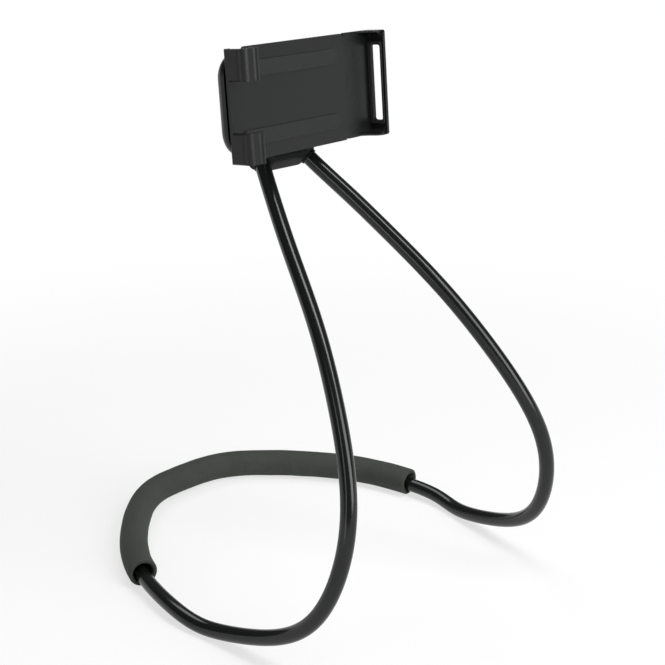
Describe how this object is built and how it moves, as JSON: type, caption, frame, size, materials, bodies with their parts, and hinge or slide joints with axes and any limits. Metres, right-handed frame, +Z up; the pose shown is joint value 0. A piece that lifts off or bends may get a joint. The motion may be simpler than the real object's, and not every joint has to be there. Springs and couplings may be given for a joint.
{
  "type": "neck phone holder",
  "caption": "Hands-free phone holder worn round the neck: a bendable vinyl-covered loop with a foam neck pad, a small yoke, a ball joint with lock nut, and a clamp with a sliding jaw.",
  "frame": {"origin": "middle of the footprint at the level of the surface that the loop rests on", "axes": "-Z down, front (phone screen side) towards -Y, +X to the right jaw, +Z up"},
  "size_m": [0.2621, 0.2957, 0.3715],
  "materials": {
    "sleeve_vinyl": "smooth glossy black vinyl sleeve with long soft highlights",
    "core_alloy": "bare soft alloy rod",
    "foam_grey": "matte dark grey closed-cell foam with fine pores",
    "moulded_black": "satin black moulded plastic with a fine spark texture",
    "pad_rubber": "soft matte black rubber",
    "cup_polymer": "natural off-white bearing plastic",
    "ball_chrome": "polished plated steel",
    "screw_steel": "zinc plated steel, lightly brushed",
    "spring_steel": "rolled spring steel"
  },
  "bodies": {
    "loop": {"neck_tube": "sleeve_vinyl", "bend_core": "core_alloy", "foam_pad": "foam_grey", "yoke_front": "moulded_black", "yoke_rear": "moulded_black", "yoke_screws": "screw_steel", "left_ferrule": "moulded_black", "right_ferrule": "moulded_black", "ball_stud": "ball_chrome"},
    "pan_cup": {"friction_cup": "cup_polymer"},
    "tilt_ring": {"retaining_ring": "cup_polymer"},
    "clamp": {"socket_collar": "moulded_black", "fixed_jaw": "moulded_black", "rear_cover": "moulded_black", "cover_screws": "screw_steel", "guide_rods": "screw_steel", "back_pads": "pad_rubber", "upper_hook_pad": "pad_rubber", "lower_hook_pad": "pad_rubber"},
    "nut": {"lock_nut": "moulded_black"},
    "jaw": {"sliding_jaw": "moulded_black", "jaw_pad": "pad_rubber", "brake_leaf": "spring_steel", "leaf_rivets": "spring_steel"}
  },
  "joints": [
    {"name": "ball_pan", "type": "hinge", "parent": "loop", "child": "pan_cup", "pos_m": [0, 0.01957, 0.33088], "axis": [0, 0, 1], "range_deg": [-20, 5]},
    {"name": "ball_tilt", "type": "hinge", "parent": "pan_cup", "child": "tilt_ring", "pos_m": [0, 0.01957, 0.33088], "axis": [0.9925, 0.1195, -0.0243], "range_deg": [-30, 5]},
    {"name": "ball_spin", "type": "hinge", "parent": "tilt_ring", "child": "clamp", "pos_m": [0, 0.01957, 0.33088], "axis": [-0.1213, 0.988, -0.0958], "range_deg": [-15, 15]},
    {"name": "lock_nut_turn", "type": "hinge", "parent": "clamp", "child": "nut", "pos_m": [0, 0.01957, 0.33088], "axis": [-0.1213, 0.988, -0.0958], "range_deg": [-90, 0]},
    {"name": "jaw_slide", "type": "slide", "parent": "clamp", "child": "jaw", "axis": [0.9925, 0.1195, -0.0243], "range_m": [-0.016, 0.032]}
  ]
}
